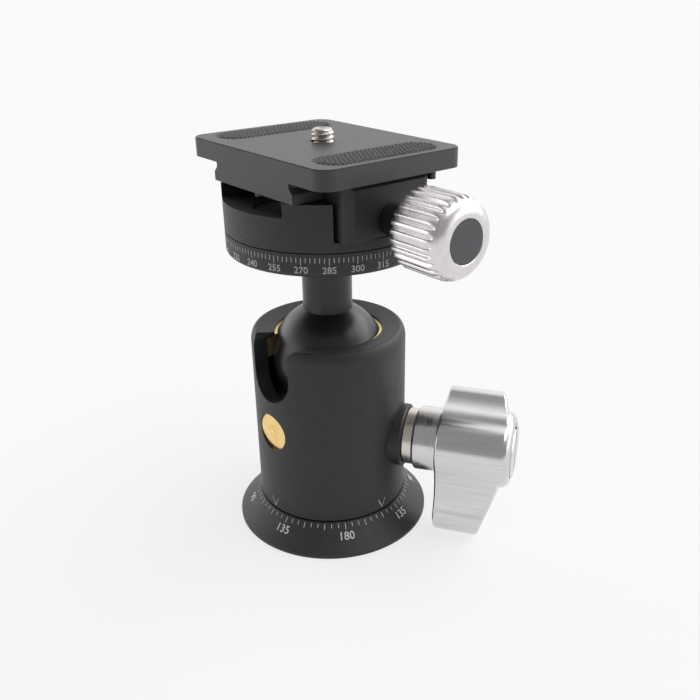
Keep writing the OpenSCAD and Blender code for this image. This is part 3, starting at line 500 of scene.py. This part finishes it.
def camera_stud():
    """The screw as one surface: head, smooth shank, thread turns and the slightly hollow tip."""
    steps = 72
    low = PLATE_TOP - 1.2
    head = [
        (0.05, HEAD_BOTTOM), (HEAD_R - HEAD_EDGE, HEAD_BOTTOM), (HEAD_R, HEAD_BOTTOM + HEAD_EDGE),
        (HEAD_R, HEAD_TOP - HEAD_EDGE), (HEAD_R - HEAD_EDGE, HEAD_TOP), (SHANK_R, HEAD_TOP),
        (SHANK_R, PLATE_TOP - 1.3),
    ]
    tip = [(2.35, STUD_TOP), (1.1, STUD_TOP), (0.9, STUD_TOP - 0.15), (0.05, STUD_TOP - 0.15)]
    rows = [ring(r, z, steps) for r, z in head]
    count = int((STUD_TOP - low) / THREAD_PITCH * 14)
    for i in range(count + 1):
        z = low + (STUD_TOP - low) * i / count
        row = []
        for j in range(steps):
            a = TAU * j / steps
            r = thread_radius(z, a)
            row.append((r * math.cos(a), r * math.sin(a), z))
        rows.append(row)
    rows += [ring(r, z, steps) for r, z in tip]
    points, faces = grid(rows)
    return made_mesh("camera_stud", points, faces, UPRIGHT, sharp=math.radians(50))


dress(camera_stud(), "camera_screw", NICKEL, "steel", "camera_screw")

# ---------------------------------------------------------------- grip pads, cut into diamonds
PAD_X = 23.6
PAD_HALF_W, PAD_HALF_L = 6.0, 19.8
PAD_FOOT = PLATE_TOP - 0.3
DIAMOND_PITCH = 1.2
DIAMOND_LEAN = (0.5, 0.866)
PAD_CELL = 0.125


def pad_height(x, y, inside):
    """Height of a pad over its grooves: diamonds with flat tops, gone at the pad's outline."""
    u = (x * DIAMOND_LEAN[0] + y * DIAMOND_LEAN[1]) / DIAMOND_PITCH
    v = (x * DIAMOND_LEAN[0] - y * DIAMOND_LEAN[1]) / DIAMOND_PITCH
    hu = abs((u % 1.0) * 2 - 1)
    hv = abs((v % 1.0) * 2 - 1)
    peak = min(1.0, max(0.0, (min(hu, hv) - 0.22) / 0.36))
    return (PAD_RELIEF - 0.01) * peak * min(1.0, max(0.0, inside / 0.45))


def grip_pad(name, centre_x):
    rows = int(2 * PAD_HALF_L / PAD_CELL)
    columns = int(2 * PAD_HALF_W / PAD_CELL)
    points, faces = [], []
    for i in range(rows + 1):
        y = -PAD_HALF_L + 2 * PAD_HALF_L * i / rows
        over = max(0.0, abs(y) - (PAD_HALF_L - PAD_HALF_W))
        width = max(0.02, math.sqrt(max(0.0, PAD_HALF_W ** 2 - over ** 2)))
        for j in range(columns + 1):
            x = (-1 + 2 * j / columns) * width
            inside = PAD_HALF_W - math.hypot(x, over)
            points.append((centre_x + x, y, PAD_TOP - PAD_RELIEF + pad_height(x, y, inside)))
    n = columns + 1
    for i in range(rows):
        for j in range(columns):
            faces.append((i * n + j, i * n + j + 1, (i + 1) * n + j + 1, (i + 1) * n + j))
    top = len(points)
    rim = list(range(n)) + [i * n + n - 1 for i in range(1, rows + 1)]
    rim += [rows * n + j for j in range(n - 2, -1, -1)] + [i * n for i in range(rows - 1, 0, -1)]
    for k in rim:
        x, y, z = points[k]
        points.append((x, y, PAD_FOOT))
    m = len(rim)
    for k in range(m):
        faces.append((rim[k], rim[(k + 1) % m], top + (k + 1) % m, top + k))
    return made_mesh(name, points, faces, CLAMP, sharp=math.radians(28))


dress(grip_pad("grip_pad_right", PAD_X), "plate", RUBBER, "black_rubber", "grip_pads")
dress(grip_pad("grip_pad_left", -PAD_X), "plate", RUBBER, "black_rubber")

# ---------------------------------------------------------------- engraved marks
# the base's cone, as (radius, height) at its top and near its foot
CONE_TOP, CONE_LOW = (24.2, 8.8), (31.3, 1.3)
CONE_SLOPE = (CONE_LOW[0] - CONE_TOP[0]) / (CONE_TOP[1] - CONE_LOW[1])
LIFT = 0.03

BASE_SCALE_TURN = -61.4
BASE_TICK_START, BASE_TICK_END, BASE_LONG_TICK_END = 24.55, 25.4, 25.8
BASE_NUMBERS = ("180", "135", "90", "45", "0", "45", "90", "135")
BASE_NUMBER_R, BASE_NUMBER_SIZE = 27.3, 3.45

RING_SCALE_TURN = -82.85
RING_TICK_TOP, RING_TICK_LOW, RING_LONG_TICK_LOW = 97.6, 96.2, 95.5
RING_NUMBER_Z, RING_NUMBER_SIZE = 94.1, 2.6

INDEX_TURNS = (-120, -29.5, 60, 150)
INDEX_TOP, INDEX_LOW, INDEX_HALF = 13.1, 10.1, 1.45


def on_cone(r, a):
    z = CONE_TOP[1] - (r - CONE_TOP[0]) / CONE_SLOPE
    run = math.hypot(1, CONE_SLOPE)
    rr = r + LIFT / run
    return (rr * math.cos(a), rr * math.sin(a), z + LIFT * CONE_SLOPE / run)


def on_cylinder(radius, a, z):
    rr = radius + LIFT
    return (rr * math.cos(a), rr * math.sin(a), z)


def patch(*corners):
    return list(corners), [list(range(len(corners)))]


def cone_tick(a, r0, r1, width):
    half0, half1 = width / 2 / r0, width / 2 / r1
    return patch(on_cone(r0, a - half0), on_cone(r0, a + half0),
                 on_cone(r1, a + half1), on_cone(r1, a - half1))


def base_scale():
    marks = []
    for k in range(72):
        end = BASE_LONG_TICK_END if k % 3 == 0 else BASE_TICK_END
        marks.append(cone_tick(math.radians(BASE_SCALE_TURN + 5 * k), BASE_TICK_START, end, 0.2))
    for k, text in enumerate(BASE_NUMBERS):
        centre = math.radians(BASE_SCALE_TURN + 45 * k)
        points, faces = flat_text("base_number", text, BASE_NUMBER_SIZE)
        # 0.72 of a number's height lies along the radius, since the cone slopes
        placed = [on_cone(BASE_NUMBER_R - y * 0.72, centre + x / BASE_NUMBER_R) for x, y in points]
        marks.append((placed, faces))
    return joined("base_scale", marks)


def ring_scale():
    marks = []
    half = 0.11 / RING_R
    for k in range(144):
        a = math.radians(RING_SCALE_TURN + 2.5 * k)
        low = RING_LONG_TICK_LOW if k % 6 == 0 else RING_TICK_LOW
        marks.append(patch(
            on_cylinder(RING_R, a - half, low), on_cylinder(RING_R, a + half, low),
            on_cylinder(RING_R, a + half, RING_TICK_TOP),
            on_cylinder(RING_R, a - half, RING_TICK_TOP),
        ))
    for k in range(24):
        centre = math.radians(RING_SCALE_TURN + 15 * k)
        points, faces = flat_text("ring_number", str((270 + 15 * k) % 360), RING_NUMBER_SIZE)
        placed = [on_cylinder(RING_R, centre + x / RING_R, RING_NUMBER_Z + y) for x, y in points]
        marks.append((placed, faces))
    return joined("ring_scale", marks)


def stroke(line, width, radius, centre):
    """A thin line through (x, y) points that lie on a cylinder round the angle centre."""
    def lay(x, y):
        return on_cylinder(radius, centre + x / radius, y)

    parts = []
    for (x0, y0), (x1, y1) in zip(line, line[1:]):
        length = math.hypot(x1 - x0, y1 - y0)
        nx, ny = -(y1 - y0) / length * width / 2, (x1 - x0) / length * width / 2
        parts.append(patch(lay(x0 + nx, y0 + ny), lay(x1 + nx, y1 + ny),
                           lay(x1 - nx, y1 - ny), lay(x0 - nx, y0 - ny)))
    return parts


def housing_marks():
    """V marks whose left stroke is the broader one."""
    marks = []
    for degrees in INDEX_TURNS:
        a = math.radians(degrees)
        marks += stroke([(-INDEX_HALF, INDEX_TOP), (0.0, INDEX_LOW)], 0.3, HOUSING_R, a)
        marks += stroke([(0.0, INDEX_LOW), (INDEX_HALF, INDEX_TOP)], 0.2, HOUSING_R, a)
    return joined("housing_marks", marks)


def ring_index():
    """A faint diamond on an upright line, over the ring's scale."""
    centre = math.radians(-121)
    diamond = [(0, 99.7), (-0.75, 101.0), (0, 102.2), (0.75, 101.0), (0, 99.7)]
    upright = [(0, 99.2), (0, 102.6)]
    marks = stroke(diamond, 0.14, RING_R, centre) + stroke(upright, 0.12, RING_R, centre)
    return joined("ring_index", marks)


dress(base_scale(), "base", MARKS, "black_anodised")
dress(ring_scale(), "ball", MARKS, "black_anodised")
dress(housing_marks(), "housing", MARKS, "black_anodised")
dress(ring_index(), "clamp", FAINT, "black_anodised")

# ---------------------------------------------------------------- floor, light and camera
FLOOR_COLOUR = (0.20, 0.198, 0.20, 1)
FLOOR_GLOW, FLOOR_GLOW_COLOUR = 0.75, (0.97, 0.965, 0.98, 1)
FLOOR_R = 12  # in metres


def floor_material():
    """Pale and matt. It keeps the object's shadow, and a glow that is seen but lights nothing
    makes it white, also where metal or glass shows it."""
    made = bpy.data.materials.new("studio_floor")
    made.use_nodes = True
    tree = made.node_tree
    tree.nodes.clear()
    out = tree.nodes.new("ShaderNodeOutputMaterial")
    add = tree.nodes.new("ShaderNodeAddShader")
    diffuse = tree.nodes.new("ShaderNodeBsdfDiffuse")
    diffuse.inputs["Color"].default_value = FLOOR_COLOUR
    glow = tree.nodes.new("ShaderNodeEmission")
    glow.inputs["Color"].default_value = FLOOR_GLOW_COLOUR
    path = tree.nodes.new("ShaderNodeLightPath")
    seen = path.outputs["Is Camera Ray"]
    for other in ("Is Glossy Ray", "Is Transmission Ray"):
        either = tree.nodes.new("ShaderNodeMath")
        either.operation = "MAXIMUM"
        tree.links.new(seen, either.inputs[0])
        tree.links.new(path.outputs[other], either.inputs[1])
        seen = either.outputs[0]
    strength = tree.nodes.new("ShaderNodeMath")
    strength.operation = "MULTIPLY"
    strength.inputs[1].default_value = FLOOR_GLOW
    tree.links.new(seen, strength.inputs[0])
    tree.links.new(strength.outputs[0], glow.inputs["Strength"])
    tree.links.new(diffuse.outputs[0], add.inputs[0])
    tree.links.new(glow.outputs[0], add.inputs[1])
    tree.links.new(add.outputs[0], out.inputs["Surface"])
    return made


def studio_floor():
    """A disc wide enough that its edge meets the plain background at the horizon."""
    mesh = bpy.data.meshes.new("studio_floor")
    bm = bmesh.new()
    bmesh.ops.create_circle(bm, cap_ends=True, segments=96, radius=FLOOR_R)
    bm.to_mesh(mesh)
    bm.free()
    made = linked("studio_floor", mesh)
    made.location.z = -0.0001
    made.data.materials.append(floor_material())


studio_floor()


# Headings are given as the camera looks: 0 to its right, 90 straight back, 180 to its left and
# 270 towards it. CAMERA_RIGHT is how far the camera's right is turned from the object's x.
CAMERA_RIGHT = 16.52


def heading(degrees):
    a = math.radians(CAMERA_RIGHT + degrees)
    return (math.cos(a), math.sin(a), 0.0)


class Sky:
    """The room round the object: a dim level with soft bright fields at a heading and a height."""

    def __init__(self, name, level):
        world = bpy.data.worlds.new(name)
        bpy.context.scene.world = world
        world.use_nodes = True
        self.tree = world.node_tree
        self.tree.nodes.clear()
        where = self.made("ShaderNodeTexCoord").outputs["Generated"]
        self.flat = self.vector("NORMALIZE", self.vector("MULTIPLY", where, (1, 1, 0)))
        split = self.made("ShaderNodeSeparateXYZ")
        self.tree.links.new(where, split.inputs[0])
        self.height = split.outputs["Z"]
        self.total = self.maths("ADD", level, 0.0)

    def made(self, kind, **values):
        node = self.tree.nodes.new(kind)
        for key, value in values.items():
            setattr(node, key, value)
        return node

    def vector(self, operation, source, other=None):
        node = self.made("ShaderNodeVectorMath", operation=operation)
        self.tree.links.new(source, node.inputs[0])
        if other is not None:
            node.inputs[1].default_value = other
        return node.outputs["Value"] if operation == "DOT_PRODUCT" else node.outputs["Vector"]

    def maths(self, operation, a, b):
        node = self.made("ShaderNodeMath", operation=operation)
        for socket, value in zip(node.inputs, (a, b)):
            if isinstance(value, (int, float)):
                socket.default_value = value
            else:
                self.tree.links.new(value, socket)
        return node.outputs[0]

    def ease(self, source, start, end, low, high):
        node = self.made("ShaderNodeMapRange", interpolation_type="SMOOTHSTEP")
        limits = {"From Min": start, "From Max": end, "To Min": low, "To Max": high}
        for key, value in limits.items():
            node.inputs[key].default_value = value
        self.tree.links.new(source, node.inputs["Value"])
        return node.outputs["Result"]

    def field(self, strength, at, inner, outer, low=None, high=None):
        """Adds light around the heading at: full within inner degrees of it and gone beyond outer.
        low and high are heights in degrees between which the light begins and ends."""
        side_on = self.vector("DOT_PRODUCT", self.flat, heading(at))
        gone, full = math.cos(math.radians(outer)), math.cos(math.radians(inner))
        glow = self.ease(side_on, gone, full, 0, strength)
        for limits, ends in ((low, (0, 1)), (high, (1, 0))):
            if limits:
                start, end = (math.sin(math.radians(v)) for v in limits)
                glow = self.maths("MULTIPLY", glow, self.ease(self.height, start, end, *ends))
        self.total = self.maths("ADD", self.total, glow)

    def finish(self, seen):
        """Camera rays that pass the floor's far edge see one plain colour."""
        out = self.made("ShaderNodeOutputWorld")
        light = self.made("ShaderNodeBackground")
        light.inputs["Color"].default_value = (1.0, 0.985, 0.98, 1)
        self.tree.links.new(self.total, light.inputs["Strength"])
        plain_seen = self.made("ShaderNodeBackground")
        plain_seen.inputs["Color"].default_value = (*seen, 1)
        path = self.made("ShaderNodeLightPath")
        mix = self.made("ShaderNodeMixShader")
        self.tree.links.new(path.outputs["Is Camera Ray"], mix.inputs[0])
        self.tree.links.new(light.outputs[0], mix.inputs[1])
        self.tree.links.new(plain_seen.outputs[0], mix.inputs[2])
        self.tree.links.new(mix.outputs[0], out.inputs["Surface"])


sky = Sky("studio", 0.36)
sky.field(0.85, at=95, inner=30, outer=80, high=(30, 62))
sky.field(1.7, at=172, inner=15, outer=55, high=(14, 40))
sky.field(1.6, at=0, inner=12, outer=42, high=(14, 44))
sky.field(3.0, at=32, inner=8, outer=42, low=(12, 26), high=(45, 66))
sky.field(3.5, at=335, inner=12, outer=45, low=(40, 52), high=(66, 78))
sky.field(1.0, at=90, inner=179, outer=180, low=(72, 84))
sky.finish((0.965, 0.96, 0.975))

# the fitted camera: focal length and centre line in pixels of a square picture, place in metres
PICTURE = 700
FOCAL, CENTRE_X = 803.7, 381.8
CAMERA_PITCH = math.radians(-24.86)
CAMERA_AT = (0.08168, -0.21674, 0.16457)


def studio_camera():
    lens = bpy.data.cameras.new("camera")
    lens.sensor_width = 36
    lens.sensor_fit = "HORIZONTAL"
    lens.lens = FOCAL / PICTURE * lens.sensor_width
    lens.shift_x = (PICTURE / 2 - CENTRE_X) / PICTURE
    lens.clip_start = 0.01
    ahead = Vector(heading(90))
    look = ahead * math.cos(CAMERA_PITCH) + Vector((0, 0, math.sin(CAMERA_PITCH)))
    to_right = Vector(heading(0))
    upward = to_right.cross(look)
    made = linked("camera", lens)
    made.matrix_world = Matrix((
        (to_right.x, upward.x, -look.x, CAMERA_AT[0]),
        (to_right.y, upward.y, -look.y, CAMERA_AT[1]),
        (to_right.z, upward.z, -look.z, CAMERA_AT[2]),
        (0, 0, 0, 1),
    ))
    bpy.context.scene.camera = made


studio_camera()
bpy.context.scene.view_settings.view_transform = "Standard"
